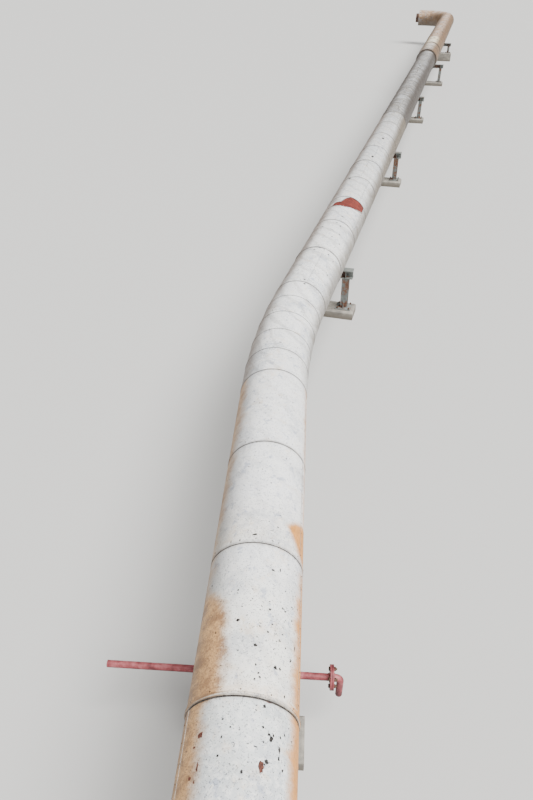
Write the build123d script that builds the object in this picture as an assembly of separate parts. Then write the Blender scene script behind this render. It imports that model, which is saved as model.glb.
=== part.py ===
# Elevated steam main: an insulated, sheet-clad pipe on low steel trestles, six bays long.
# It leaves the near end on a straight run, turns right a little through a mitred bend, follows a
# long straight run along +Y, steps up to thicker insulation, and ends in a mitred elbow to the left.
# Millimetres, +Z up. The origin is on the ground, at the centre of the whole part's plan.

import os
from math import cos, pi, radians, sin, tan

from build123d import *

# Route of the pipe's centreline
axis_height = 1200.0
bend_angle = 12.2
bend_radius = 8360.0
elbow_angle = 90.0
elbow_radius = 1200.0
stub_length = 300.0

# Sheet-metal cladding
clad_radius = 300.0
far_clad_radius = 350.0
sheet_thickness = 1.0
sheet_cover = 980.0
near_sheet_count = 4
long_sheet_count = 19
far_sheet_count = 14
lap_length = 50.0
lap_clearance = 0.4
joggle_length = 10.0
bead_height = 6.0
bead_width = 16.0
bead_inset = 12.0
beaded_lap_every = 4
seam_flap = 40.0
near_seam_angles = (-71.0, 74.0, 68.0, 76.0)
long_seam_angles = (15.0, -35.0, 62.0, 38.0, 8.0)
bend_gores = 5
elbow_gores = 5
gore_gap = 1.0
gore_collar_height = 2.5
gore_collar_width = 14.0
cap_thickness = 1.5
cap_lip = 30.0
torn_sheet_index = 2
tear_length = 450.0
tear_width = 430.0
tear_off_centre = 50.0
open_joint_index = 1
open_joint_gap = 60.0
open_joint_slant = 14.0

# Carrier pipe and insulation
carrier_radius = 203.2
carrier_wall = 8.8
spigot_length = 150.0
weld_bevel = 5.0
lag_count = 8
lag_gap = 1.0
seat_gap = 0.3

# Supports
bay = 6400.0
support_count = 6
first_support_before_bend = 2470.0
leg_spread = 400.0
far_leg_spread = 840.0
leg_size = 100.0
leg_flange = 10.0
leg_web = 6.0
base_plate = 220.0
base_plate_thickness = 15.0
footing_margin = 50.0
footing_height = 120.0
pier_height = 330.0
pier_index = 5
footing_chamfer = 20.0
beam_top = 720.0
beam_overhang = 100.0
beam_size = 120.0
beam_flange = 11.0
beam_web = 6.5
stiffener = 8.0
gusset_height = 130.0
gusset_margin = 15.0
shoe_length = 250.0
shoe_width = 220.0
shoe_plate = 12.0
shoe_web = 10.0
shoe_web_spread = 150.0
slide_plate = 8.0
slide_plate_margin = 30.0
saddle_thickness = 8.0
slot_clearance = 8.0
guide_height = 45.0
guide_thickness = 8.0
guide_clearance = 3.0

# Drain under the near run
drain_beyond_support = 230.0
pocket_radius = 57.15
pocket_wall = 6.3
pocket_bottom = 640.0
pocket_cap = 10.0
pocket_clearance = 3.0
drain_height = 500.0
drain_radius = 24.15
drain_wall = 3.2
nozzle_radius = 16.85
nozzle_wall = 3.2
drain_left = 1015.0
drain_right = 525.0
flange_radius = 82.5
flange_thickness = 12.0
flange_hole_radius = 9.0
flange_bolt_circle = 110.0
flange_bolts = 4
gasket_thickness = 2.0
drain_elbow_radius = 38.0
drain_outlet_height = 300.0
drain_outlet_reach = 20.0

near_run = near_sheet_count * sheet_cover
long_run = long_sheet_count * sheet_cover
far_run = far_sheet_count * sheet_cover
straight_run = long_run + far_run
bend_length = bend_radius * radians(bend_angle)


def near_bend_point(angle):
    """Plan point and heading on the near bend, angle degrees back from the start of the long run."""
    a = radians(angle)
    return bend_radius * (1 - cos(a)), -bend_radius * sin(a), angle


def elbow_point(angle):
    """Plan point and heading on the far elbow, angle degrees past the end of the long run."""
    a = radians(angle)
    return -elbow_radius * (1 - cos(a)), straight_run + elbow_radius * sin(a), angle


def station(distance):
    """Plan point and heading of the centreline, at a distance past the start of the long run."""
    if distance >= 0:
        return 0.0, distance, 0.0
    if distance > -bend_length:
        return near_bend_point(-distance / bend_length * bend_angle)
    x, y, heading = near_bend_point(bend_angle)
    back = -distance - bend_length
    return x + back * sin(radians(heading)), y - back * cos(radians(heading)), heading


def along(distance, height=0.0):
    """Location whose local +Y follows the pipe at that distance, at a height over the ground."""
    x, y, heading = station(distance)
    return Location((x, y, height), (0, 0, heading))


def ring(outer, inner, length, start=0.0):
    """A tube round the local Y axis, from start to start + length."""
    wall = Circle(outer) - Circle(inner)
    return extrude(Plane((0, start, 0), x_dir=(1, 0, 0), z_dir=(0, 1, 0)) * wall, length)


def rod(radius, length, start=0.0):
    """A solid round bar along the local Y axis."""
    return extrude(Plane((0, start, 0), x_dir=(1, 0, 0), z_dir=(0, 1, 0)) * Circle(radius), length)


def bare_end(tube):
    """A pipe with the outer edge of its first end bevelled for welding."""
    rims = tube.edges().filter_by(GeomType.CIRCLE).group_by(Axis.Y)[0]
    return chamfer(rims.sort_by(SortBy.RADIUS)[-1], weld_bevel)


def block(width, length, height, bottom=0.0, x=0.0, y=0.0):
    """A box with its middle at x, y and its underside at bottom."""
    return Pos(x, y, bottom) * Box(width, length, height, align=(Align.CENTER, Align.CENTER, Align.MIN))


def swept_bend(centre_x, y, angle, section):
    """A section that stands on the centreline at x = 0, turned about an upright axis at centre_x."""
    axis = Axis((centre_x, y, axis_height), (0, 0, 1))
    return revolve(Pos(0, y, axis_height) * (Plane.XZ * section), axis, angle)


def sheet_profile(radius, length, beaded):
    """Half section of a rolled sheet: raised lap, with or without a swaged bead, joggle and plain body."""
    body = radius - sheet_thickness
    lift = radius + lap_clearance
    bead_start = bead_inset - bead_width / 2
    bead_end = bead_inset + bead_width / 2

    def lap(raised):
        if not beaded:
            return [Line((raised, 0), (raised, lap_length - joggle_length))]
        return [
            Line((raised, 0), (raised, bead_start)),
            ThreePointArc((raised, bead_start), (raised + bead_height, bead_inset), (raised, bead_end)),
            Line((raised, bead_end), (raised, lap_length - joggle_length)),
        ]

    def edge(offset):
        raised = lift + offset
        return lap(raised) + [
            Line((raised, lap_length - joggle_length), (body + offset, lap_length)),
            Line((body + offset, lap_length), (body + offset, length)),
        ]

    ends = [
        Line((lift, 0), (lift + sheet_thickness, 0)),
        Line((body, length), (body + sheet_thickness, length)),
    ]
    return make_face(Wire(edge(0) + edge(sheet_thickness) + ends))


def sheet(radius, tail, seam_angle, beaded):
    """One cladding sheet, near edge at local y = 0, its lengthwise overlap at seam_angle from the top."""
    shell = revolve(sheet_profile(radius, sheet_cover + tail, beaded), Axis.Y)
    flap_length = sheet_cover - lap_length - 2 * lap_clearance
    outline = Pos(radius + sheet_thickness / 4, (lap_length + sheet_cover) / 2) * Rectangle(
        sheet_thickness * 1.5, flap_length
    )
    flap = revolve(outline, Axis.Y, seam_flap / radius * 180 / pi)
    return shell + Rot(0, seam_angle - 90, 0) * flap


def run_of_sheets(start, count, radius, seam_angles):
    """Sheets laid end to end, each over the end of the one before; the last one of a run has no tail."""
    shells = []
    for i in range(count):
        tail = lap_length - joggle_length - lap_clearance if i < count - 1 else -gore_gap
        angle = seam_angles[i % len(seam_angles)]
        beaded = i % beaded_lap_every == 1
        shells.append(along(start + i * sheet_cover, axis_height) * sheet(radius, tail, angle, beaded))
    return shells


def mitre_plane(x, y, heading):
    """Upright plane across the pipe, its normal pointing forward along it."""
    return Plane((x, y, axis_height), z_dir=(-sin(radians(heading)), cos(radians(heading)), 0))


def mitred(point, angle, step):
    """Where one mitred piece lies, how long its blank is for a radius, and its two mitre planes."""
    ends = sorted([point(angle), point(angle + step)], key=lambda end: end[1])
    (x0, y0, heading0), (x1, y1, heading1) = ends
    length = ((x1 - x0) ** 2 + (y1 - y0) ** 2) ** 0.5
    middle = Location(((x0 + x1) / 2, (y0 + y1) / 2, axis_height), (0, 0, (heading0 + heading1) / 2))
    return middle, length, mitre_plane(x0, y0, heading0), mitre_plane(x1, y1, heading1)


def between(solid, low, high):
    """What is left of a solid between two mitre planes."""
    return split(split(solid, low, Keep.TOP), high, Keep.BOTTOM)


def gore(point, angle, step, radius):
    """One mitred cladding piece of a bend, with the swaged collar along its near edge."""
    middle, length, low, high = mitred(point, angle, step)
    spare = 2 * radius * tan(radians(step)) + length
    low = low.offset(gore_gap / 2)
    high = high.offset(-gore_gap / 2)
    tube = middle * ring(radius, radius - sheet_thickness, spare, -spare / 2)
    collar = middle * ring(radius + gore_collar_height, radius - sheet_thickness, spare, -spare / 2)
    return between(tube, low, high) + between(collar, low, low.offset(gore_collar_width))


def wool_radius(radius):
    return radius - sheet_thickness - seat_gap


def lags(radius, length, start=0.0, slack=0.0):
    """Bevelled insulation lags round the carrier pipe: flat inside, curved outside, round local Y."""
    inner = carrier_radius + seat_gap + slack
    outer = wool_radius(radius)
    half = pi / lag_count
    corner = inner * tan(half) - lag_gap / 2
    reach = outer * 1.2
    flank = reach * tan(half) - lag_gap / 2
    wedge = Polygon((inner, corner), (inner, -corner), (reach, -flank), (reach, flank), align=None)
    plane = Plane((0, start, 0), x_dir=(1, 0, 0), z_dir=(0, 1, 0))
    lag = extrude(plane * (wedge & Circle(outer)), length)
    return [Rot(0, (i + 0.5) * 360 / lag_count, 0) * lag for i in range(lag_count)]


def gore_lags(point, angle, step, radius, turn_radius):
    """Insulation lags under one mitred piece, cut at its mitres and clear of the bent carrier's arc."""
    middle, length, low, high = mitred(point, angle, step)
    spare = 2 * radius * tan(radians(step)) + length
    slack = turn_radius * (1 - cos(radians(step / 2)))
    low = low.offset(lag_gap / 2)
    high = high.offset(-lag_gap / 2)
    return [between(middle * lag, low, high) for lag in lags(radius, spare, -spare / 2, slack)]


def h_section(size, flange, web, length):
    """Rolled H section along local Z, flanges facing local Y."""
    side = Rectangle((size - web) / 2, size - 2 * flange)
    face = Rectangle(size, size) - Pos((size + web) / 4, 0) * side - Pos(-(size + web) / 4, 0) * side
    return extrude(face, length)


def support_distance(i):
    return i * bay - first_support_before_bend - bend_length


def footing_height_at(i):
    return pier_height if i == pier_index else footing_height


def leg_spread_at(i):
    """Distance between the legs: wider under the thicker far run."""
    return far_leg_spread if support_distance(i) > long_run else leg_spread


def leg(bottom):
    """One leg: base plate, rolled column and a gusset on each flange."""
    foot_top = bottom + base_plate_thickness
    column = Pos(0, 0, foot_top) * h_section(leg_size, leg_flange, leg_web, beam_top - beam_size - foot_top)
    foot = block(base_plate, base_plate, base_plate_thickness, bottom)
    reach = (base_plate - leg_size) / 2 - gusset_margin
    outline = Polygon((0, 0), (reach, 0), (0, gusset_height), align=None)
    gusset = extrude(Plane.YZ * outline, stiffener / 2, both=True)
    front = Pos(0, leg_size / 2, foot_top) * gusset
    return foot + column + front + Rot(0, 0, 180) * front


def cross_beam(spread):
    """Rolled beam across the legs, with web stiffeners over each leg and under the shoe."""
    beam_length = spread + 2 * beam_overhang
    beam = Rot(0, 90, 0) * Rot(0, 0, 90) * h_section(beam_size, beam_flange, beam_web, beam_length)
    beam = Pos(-beam_length / 2, 0, beam_top - beam_size / 2) * beam
    rib_width = (beam_size - beam_web) / 2
    rib_bottom = beam_top - beam_size + beam_flange
    for x in (-spread / 2, -shoe_web_spread / 2, shoe_web_spread / 2, spread / 2):
        for side in (-1, 1):
            y = side * (rib_width + beam_web) / 2
            beam += block(stiffener, rib_width, beam_size - 2 * beam_flange, rib_bottom, x, y)
    return beam


def trestle(bottom, spread):
    """Welded portal: two legs, cross beam, slide plate and the two guides beside the shoe's foot."""
    frame = cross_beam(spread)
    for side in (-1, 1):
        frame += Pos(side * spread / 2, 0, 0) * leg(bottom)
    frame += block(shoe_width + 2 * slide_plate_margin, beam_size, slide_plate, beam_top)
    for side in (-1, 1):
        x = side * (shoe_width / 2 + guide_clearance + guide_thickness / 2)
        frame += block(guide_thickness, beam_size, guide_height, beam_top + slide_plate, x)
    return frame


def shoe():
    """Pipe shoe: foot plate, two webs, cross ribs and the saddle that the carrier pipe lies in."""
    foot_bottom = beam_top + slide_plate
    web_bottom = foot_bottom + shoe_plate
    web_height = axis_height - web_bottom
    body = block(shoe_width, shoe_length, shoe_plate, foot_bottom)
    for side in (-1, 1):
        body += block(shoe_web, shoe_length, web_height, web_bottom, side * shoe_web_spread / 2)
    for y in (-(shoe_length - shoe_web) / 2, 0, (shoe_length - shoe_web) / 2):
        body += block(shoe_web_spread, shoe_web, web_height, web_bottom, 0, y)
    seat = carrier_radius + seat_gap
    saddle = ring(seat + saddle_thickness, seat, shoe_length, -shoe_length / 2)
    saddle &= block(shoe_web_spread + shoe_web, shoe_length, axis_height, -axis_height)
    body -= Pos(0, 0, axis_height) * rod(seat, 2 * shoe_length, -shoe_length)
    return body + Pos(0, 0, axis_height) * saddle


def shoe_slot(i):
    """The space that a shoe needs through the cladding and the insulation."""
    width = shoe_web_spread + shoe_web + 2 * slot_clearance
    return along(support_distance(i)) * block(width, shoe_length + 2 * slot_clearance, axis_height)


def footing(height, spread):
    """Concrete footing under both legs, its top edges chamfered."""
    width = spread + base_plate + 2 * footing_margin
    body = block(width, base_plate + 2 * footing_margin, height)
    return chamfer(body.edges().group_by(Axis.Z)[-1], footing_chamfer)


def end_cap(outer, inner):
    """Flat ring that closes the end of the insulation, its lip turned out along whatever comes out of it."""
    plate = ring(outer, inner, cap_thickness, -cap_thickness)
    return plate + ring(inner + cap_thickness, inner, cap_lip, -cap_lip)


def torn(shell, seam_distance):
    """A sheet with its far edge torn open on top."""
    half = tear_width / 2
    outline = Polygon(
        (-half, -tear_length * 0.83),
        (-half * 0.4, -tear_length * 0.94),
        (0, -tear_length),
        (half * 0.61, -tear_length * 0.82),
        (half, -tear_length * 0.46),
        (half, lap_length),
        (0, lap_length),
        (-half * 0.02, -tear_length * 0.05),
        (-half * 0.21, -tear_length * 0.2),
        (-half * 0.4, -tear_length * 0.52),
        (-half * 0.8, -tear_length * 0.55),
        align=None,
    )
    place = along(seam_distance, axis_height) * Pos(tear_off_centre, 0, 0)
    return shell - place * extrude(outline, 2 * clad_radius)


def opened(shell, seam_distance):
    """A sheet whose far edge has come away from the next one, on a slant."""
    turn = radians(open_joint_slant)
    corner = along(seam_distance - open_joint_gap, axis_height).position - Vector(far_clad_radius, 0, 0)
    return split(shell, Plane(corner, z_dir=(sin(turn), cos(turn), 0)), Keep.BOTTOM)


def nozzle():
    """Upright branch from the drain line to the underside of the pocket's cap."""
    height = pocket_bottom - drain_height
    return Pos(0, 0, drain_height) * extrude(Circle(nozzle_radius), height)


def drain_line():
    """Horizontal drain line across the pipe's run, teed into the pocket above it."""
    turn = Pos(0, 0, drain_height) * Rot(0, 0, 90)
    length = drain_left + drain_right
    line = turn * rod(drain_radius, length, -drain_right) + nozzle()
    bore = drain_radius - drain_wall
    line -= turn * rod(bore, length + 2, -drain_right - 1)
    return line - Pos(0, 0, drain_height) * extrude(Circle(nozzle_radius - nozzle_wall), pocket_bottom)


def drain_pocket():
    """Drip leg under the carrier pipe, closed by a plate with a hole for the nozzle."""
    body = extrude(Circle(pocket_radius), axis_height - pocket_bottom)
    body -= Pos(0, 0, pocket_cap) * extrude(Circle(pocket_radius - pocket_wall), axis_height)
    body -= extrude(Circle(nozzle_radius - nozzle_wall), axis_height)
    pipe_space = rod(carrier_radius + seat_gap, 2 * carrier_radius, -carrier_radius)
    return Pos(0, 0, pocket_bottom) * body - Pos(0, 0, axis_height) * pipe_space


def flange():
    """Plate flange bored for the drain line, its joint face on z = 0 and its back at +Z."""
    face = Circle(flange_radius) - Circle(drain_radius)
    holes = PolarLocations(flange_bolt_circle / 2, flange_bolts, start_angle=180 / flange_bolts)
    return extrude(face - holes * Circle(flange_hole_radius), flange_thickness)


def drain_outlet():
    """Outlet beyond the flanged joint: a short spool, a quarter bend and the drop to the ground."""
    bore = drain_radius - drain_wall
    section = Circle(drain_radius) - Circle(bore)
    spool = extrude(Plane.YZ * section, drain_outlet_reach)
    turn = Axis((drain_outlet_reach, 0, -drain_elbow_radius), (0, 1, 0))
    bend = revolve(Pos(drain_outlet_reach, 0, 0) * (Plane.YZ * section), turn, 90)
    drop_top = -drain_elbow_radius
    drop = drain_height - drain_elbow_radius - drain_outlet_height
    spout = Pos(drain_outlet_reach + drain_elbow_radius, 0, drop_top - drop) * extrude(section, drop)
    return spool + bend + spout


nodes = {}


def add(name, *solids, cuts=()):
    """Keeps one named node: a solid, or like solids that don't touch, and what is cut out of them."""
    nodes[name] = [s for part in solids for s in part.solids()], cuts


# Carrier pipe: near run with its bare end, near bend, long run, far elbow and the far stub
bore = carrier_radius - carrier_wall
carrier_section = Circle(carrier_radius) - Circle(bore)
near_axis = along(-bend_length, axis_height)
stub_x, stub_y, stub_heading = elbow_point(elbow_angle)
stub = Location((stub_x, stub_y, axis_height), (0, 0, stub_heading))
near_pipe_length = near_run + spigot_length
near_pipe = ring(carrier_radius, bore, near_pipe_length)
stub_pipe = ring(carrier_radius, bore, stub_length + spigot_length)
add("carrier_pipe_near", near_axis * Pos(0, -near_pipe_length, 0) * bare_end(near_pipe))
add("carrier_bend", swept_bend(bend_radius, 0, bend_angle, carrier_section))
add("carrier_pipe_long", Pos(0, 0, axis_height) * ring(carrier_radius, bore, straight_run))
add("carrier_elbow", swept_bend(-elbow_radius, straight_run, elbow_angle, carrier_section))
stub_tip = stub * Pos(0, stub_length + spigot_length, 0) * Rot(0, 0, 180)
add("carrier_pipe_stub", stub_tip * bare_end(stub_pipe))

# Insulation, hollowed for the shoes and the drain pocket where they pass through
bend_step = bend_angle / bend_gores
elbow_step = elbow_angle / elbow_gores
slots = [shoe_slot(i) for i in range(support_count)]
drain_distance = support_distance(0) + drain_beyond_support
pocket_space = along(drain_distance) * extrude(Circle(pocket_radius + pocket_clearance), axis_height)
near_lags = [near_axis * lag for lag in lags(clad_radius, near_run - lag_gap, -near_run)]
long_wool = [Pos(0, 0, axis_height) * lag for lag in lags(clad_radius, long_run - 2 * lag_gap, lag_gap)]
far_wool = [Pos(0, 0, axis_height) * lag for lag in lags(far_clad_radius, far_run - lag_gap, long_run)]
bend_wool = []
for i in range(bend_gores):
    bend_wool += gore_lags(near_bend_point, i * bend_step, bend_step, clad_radius, bend_radius)
elbow_wool = []
for i in range(elbow_gores):
    elbow_wool += gore_lags(elbow_point, i * elbow_step, elbow_step, far_clad_radius, elbow_radius)
add("insulation_near", *near_lags, cuts=(pocket_space, slots[0]))
add("insulation_bend", *bend_wool)
add("insulation_long", *long_wool, cuts=slots[1:])
add("insulation_far", *far_wool, cuts=slots[1:])
add("insulation_elbow", *elbow_wool)
add("insulation_stub", *[stub * lag for lag in lags(far_clad_radius, stub_length - lag_gap, lag_gap)])

# Cladding sheets on the straight runs, mitred pieces on the two bends
near_sheets = run_of_sheets(-bend_length - near_run, near_sheet_count, clad_radius, near_seam_angles)
long_sheets = run_of_sheets(0, long_sheet_count, clad_radius, long_seam_angles)
far_sheets = run_of_sheets(long_run, far_sheet_count, far_clad_radius, long_seam_angles)
torn_end = (torn_sheet_index + 1) * sheet_cover
long_sheets[torn_sheet_index] = torn(long_sheets[torn_sheet_index], torn_end)
open_end = long_run + (open_joint_index + 1) * sheet_cover
far_sheets[open_joint_index] = opened(far_sheets[open_joint_index], open_end)
half = long_sheet_count // 2
add("cladding_near", *near_sheets, cuts=(pocket_space, slots[0]))
bend_pieces = [gore(near_bend_point, i * bend_step, bend_step, clad_radius) for i in range(bend_gores)]
add("cladding_bend", *bend_pieces)
add("cladding_long_first_half", *long_sheets[:half], cuts=slots[1:])
add("cladding_long_second_half", *long_sheets[half:], cuts=slots[1:])
add("cladding_far", *far_sheets, cuts=slots[1:])
elbow_pieces = [gore(elbow_point, i * elbow_step, elbow_step, far_clad_radius) for i in range(elbow_gores)]
add("cladding_elbow", *elbow_pieces)
stub_shell = ring(far_clad_radius, far_clad_radius - sheet_thickness, stub_length - gore_gap, gore_gap)
add("cladding_stub", stub * stub_shell)

# Caps on the ends of the insulation, and where the thicker insulation begins
pipe_seat = carrier_radius + seat_gap
near_start = along(-bend_length - near_run - seat_gap, axis_height)
add("end_cap_near", near_start * end_cap(clad_radius, pipe_seat))
stub_end = stub * Pos(0, stub_length + seat_gap, 0) * Rot(0, 0, 180)
add("end_cap_far", stub_end * end_cap(far_clad_radius, pipe_seat))
step_start = Pos(0, long_run - seat_gap, axis_height)
add("step_cap", step_start * end_cap(far_clad_radius, clad_radius + sheet_thickness + seat_gap))

# Supports
for i in range(support_count):
    place = along(support_distance(i))
    add(f"footing_{i + 1}", place * footing(footing_height_at(i), leg_spread_at(i)))
    add(f"trestle_{i + 1}", place * trestle(footing_height_at(i), leg_spread_at(i)))
    add(f"pipe_shoe_{i + 1}", place * shoe())

# Drain under the near run
drain = along(drain_distance)
joint = drain * Pos(drain_right, 0, drain_height)
add("drain_pocket", drain * drain_pocket())
add("drain_line", drain * drain_line())
add("drain_flange", joint * Rot(0, -90, 0) * flange())
outlet_joint = joint * Pos(gasket_thickness, 0, 0)
gasket = Circle(flange_bolt_circle / 2 - flange_hole_radius) - Circle(drain_radius - drain_wall)
add("drain_gasket", joint * extrude(Plane.YZ * gasket, gasket_thickness))
add("drain_outlet", outlet_joint * drain_outlet() + outlet_joint * Rot(0, 90, 0) * flange())

# The whole part moved so that the middle of its plan stands on the origin, then the cuts made in place
extent = Compound([solid for solids, cuts in nodes.values() for solid in solids]).bounding_box()
middle = Pos(-extent.center().X, -extent.center().Y, 0)
print("moved by", middle.position, "size", extent.size)
near_end = near_axis * Pos(0, -near_pipe_length, 0)
print("near end", (middle * near_end).position, "heading", bend_angle)
print("first footing", (middle * along(support_distance(0))).position)
os.makedirs("parts", exist_ok=True)
for name, (solids, cuts) in nodes.items():
    placed = [middle * solid for solid in solids]
    for cut in cuts:
        placed = [solid - middle * cut for solid in placed]
    found = [solid for shape in placed for solid in shape.solids()]
    export_step(found[0] if len(found) == 1 else Compound(found), f"parts/{name}.step")
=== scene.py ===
import math
import random

import bmesh
import bpy
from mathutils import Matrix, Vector, noise


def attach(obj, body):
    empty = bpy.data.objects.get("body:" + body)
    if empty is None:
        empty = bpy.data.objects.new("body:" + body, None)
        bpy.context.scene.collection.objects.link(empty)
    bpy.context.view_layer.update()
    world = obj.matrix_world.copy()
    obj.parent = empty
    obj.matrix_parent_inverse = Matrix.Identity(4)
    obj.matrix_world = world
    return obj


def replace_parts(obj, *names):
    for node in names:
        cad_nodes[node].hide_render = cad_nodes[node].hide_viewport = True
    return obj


# An insulated steam main on low steel trestles: bare pipe ends, mineral wool, sheet cladding with a mitred
# bend and a mitred elbow, and a small drain line that crosses under the near run. Metres, +Z up, +Y ahead.
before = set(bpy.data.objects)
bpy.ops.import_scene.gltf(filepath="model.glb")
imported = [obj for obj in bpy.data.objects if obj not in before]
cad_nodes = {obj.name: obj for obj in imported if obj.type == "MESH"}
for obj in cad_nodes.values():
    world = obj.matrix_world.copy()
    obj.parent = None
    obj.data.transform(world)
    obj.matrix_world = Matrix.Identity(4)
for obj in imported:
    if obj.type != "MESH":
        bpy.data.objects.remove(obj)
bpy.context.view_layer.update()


# Carrier pipe: hot-rolled seamless steel tube, 406 mm, butt-welded in lengths. Only its two bare ends show.
# Mill scale gives a blue-black, faintly shiny skin that has broken to brown rust.
def linear(hex_colour):
    """An sRGB hex colour as linear RGBA."""
    channels = [int(hex_colour[i:i + 2], 16) / 255 for i in (0, 2, 4)]
    return (*[c / 12.92 if c <= 0.04045 else ((c + 0.055) / 1.055) ** 2.4 for c in channels], 1.0)


def node(material, kind, inputs=None, stops=None, **settings):
    """Adds a node with its settings, its input values and links, and its colour stops where it has them."""
    made = material.node_tree.nodes.new("ShaderNode" + kind)
    for key, value in settings.items():
        setattr(made, key, value)
    for key, value in (inputs or {}).items():
        if isinstance(value, bpy.types.Node):
            value = [output for output in value.outputs if output.enabled][0]
        if isinstance(value, bpy.types.NodeSocket):
            material.node_tree.links.new(value, made.inputs[key])
        else:
            made.inputs[key].default_value = linear(value) if isinstance(value, str) else value
    if stops:
        elements = made.color_ramp.elements
        while len(elements) < len(stops):
            elements.new(0.5)
        for element, (position, colour) in zip(elements, stops):
            element.position = position
            element.color = linear(colour) if isinstance(colour, str) else (colour, colour, colour, 1.0)
    return made


def new_material(name, roughness, metallic=0.0):
    """A material with its shader, and the place on the object that its patterns are laid by."""
    material = bpy.data.materials.new(name)
    material.use_nodes = True
    material.node_tree.nodes.clear()
    shader = node(material, "BsdfPrincipled", {"Roughness": roughness, "Metallic": metallic})
    node(material, "OutputMaterial", {"Surface": shader})
    return material, shader, node(material, "TexCoord").outputs["Object"]


def finish(material, shader, colour, height, depth):
    """Joins the colour and the relief of a surface to its shader."""
    relief = node(material, "Bump", {"Height": height, "Strength": 1.0, "Distance": depth})
    for source, socket in ((colour, "Base Color"), (relief, "Normal")):
        output = [output for output in source.outputs if output.enabled][0]
        material.node_tree.links.new(output, shader.inputs[socket])


def dress(material, *names):
    """Gives CAD nodes a material in every slot."""
    for name in names:
        for slot in cad_nodes[name].material_slots:
            slot.material = material


scale_steel, scale_shader, scale_place = new_material("mill-scaled steel", 0.62)
# Rust blooms of 45 mm over the scale, with 2.5 mm pitting.
scale_bloom = node(
    scale_steel, "TexNoise", {"Vector": scale_place, "Scale": 22.0, "Detail": 8.0, "Roughness": 0.65}
)
scale_pits = node(scale_steel, "TexNoise", {"Vector": scale_place, "Scale": 400.0, "Detail": 3.0})
scale_colour = node(
    scale_steel, "ValToRGB", {"Fac": scale_bloom},
    [(0.32, "2A2A2C"), (0.48, "4A3328"), (0.62, "6E4329"), (0.75, "8A5730")],
)
finish(scale_steel, scale_shader, scale_colour, scale_pits, 0.0008)
dress(scale_steel, *[name for name in cad_nodes if name.startswith("carrier")])


# Insulation: pipe sections of bound mineral wool, strapped round the carrier with annealed wire.
# Olive-brown fibre that soaks light up; it shows at the parted joint of the far run and behind the caps.
wool, wool_shader, wool_place = new_material("bound mineral wool", 0.96)
# Fibres are 5 microns thick; they are drawn as 4 mm tufts, which is as fine as shows, in clouds of 110 mm.
wool_lay = node(wool, "Mapping", {"Vector": wool_place, "Scale": (1.0, 0.25, 1.0)})
wool_tuft = node(wool, "TexNoise", {"Vector": wool_lay, "Scale": 240.0, "Detail": 6.0, "Roughness": 0.8})
wool_cloud = node(wool, "TexNoise", {"Vector": wool_place, "Scale": 9.0, "Detail": 4.0})
wool_mixed = node(wool, "Math", {0: wool_tuft, 1: wool_cloud}, operation="MULTIPLY")
wool_colour = node(
    wool, "ValToRGB", {"Fac": wool_mixed}, [(0.14, "241F16"), (0.26, "4A3F2A"), (0.42, "7C6B48")]
)
finish(wool, wool_shader, wool_colour, wool_tuft, 0.004)
dress(wool, *[name for name in cad_nodes if name.startswith("insulation") and name != "insulation_long"])

# Under-wrap of the long run: glass cloth brushed with red-brown weather coat, drawn tight over the wool.
# The coat is matt and blotchy, and the open weave shows through it as a fine grid.
coat, coat_shader, coat_place = new_material("red-brown coated glass cloth", 0.82)
# Blotches of the coat are 80 mm across, and its grit 7 mm.
coat_cloud = node(coat, "TexNoise", {"Vector": coat_place, "Scale": 13.0, "Detail": 6.0, "Roughness": 0.6})
coat_grit = node(coat, "TexNoise", {"Vector": coat_place, "Scale": 150.0, "Detail": 4.0, "Roughness": 0.7})
# The weave is 1.5 mm; it is drawn at 6 mm so that it shows.
coat_weave = node(
    coat, "TexChecker", {"Vector": coat_place, "Scale": 330.0, "Color1": "FFFFFF", "Color2": "000000"}
)
coat_height = node(
    coat, "Math", {0: coat_weave.outputs["Fac"], 1: 0.25, 2: coat_grit}, operation="MULTIPLY_ADD"
)
coat_sum = node(coat, "Math", {0: coat_cloud, 1: coat_grit}, operation="ADD")
coat_even = node(coat, "Math", {0: coat_sum, 1: 0.5}, operation="MULTIPLY")
coat_colour = node(
    coat, "ValToRGB", {"Fac": coat_even}, [(0.38, "2C0C07"), (0.5, "6A2115"), (0.62, "863524")]
)
finish(coat, coat_shader, coat_colour, coat_height, 0.0015)
dress(coat, "insulation_long")


# Sheet cladding of the near run, the bend and the long run: 1 mm galvanised sheet, rolled and lapped,
# brushed with light grey paint. The paint has chalked in patches, run-off has stained both flanks
# tan and orange, and chips, most of them 10 to 60 mm long, show dark bare sheet. The colour also holds
# painted shade on the flanks, in the creases and under the pipe, and a painted warm reflection on the
# near run's right flank.
bend_start = Vector((0.1691, -14.0538, 1.2))
bend_turn = math.radians(12.2)
bend_radius = 8.36


def bend_point(turn):
    """Point on the bend's centreline at an angle before its end, where the long run starts."""
    return bend_start + Vector((bend_radius * (1 - math.cos(turn)), -bend_radius * math.sin(turn), 0))


# A run is its starting point and its heading, turned from +Y.
long_run = (bend_start, 0.0)
near_run = (bend_point(bend_turn), bend_turn)
sheet_cover = 0.98
thin_radius = 0.3
thick_radius = 0.35


def on_pipe(run, distance, angle, radius):
    """Point and outward direction at a distance along a run and an angle from its top, positive to the
    right."""
    start, heading = run
    ahead = Vector((-math.sin(heading), math.cos(heading), 0))
    right = Vector((math.cos(heading), math.sin(heading), 0))
    a = math.radians(angle)
    out = right * math.sin(a) + Vector((0, 0, math.cos(a)))
    return start + ahead * distance + out * radius, out


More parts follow.
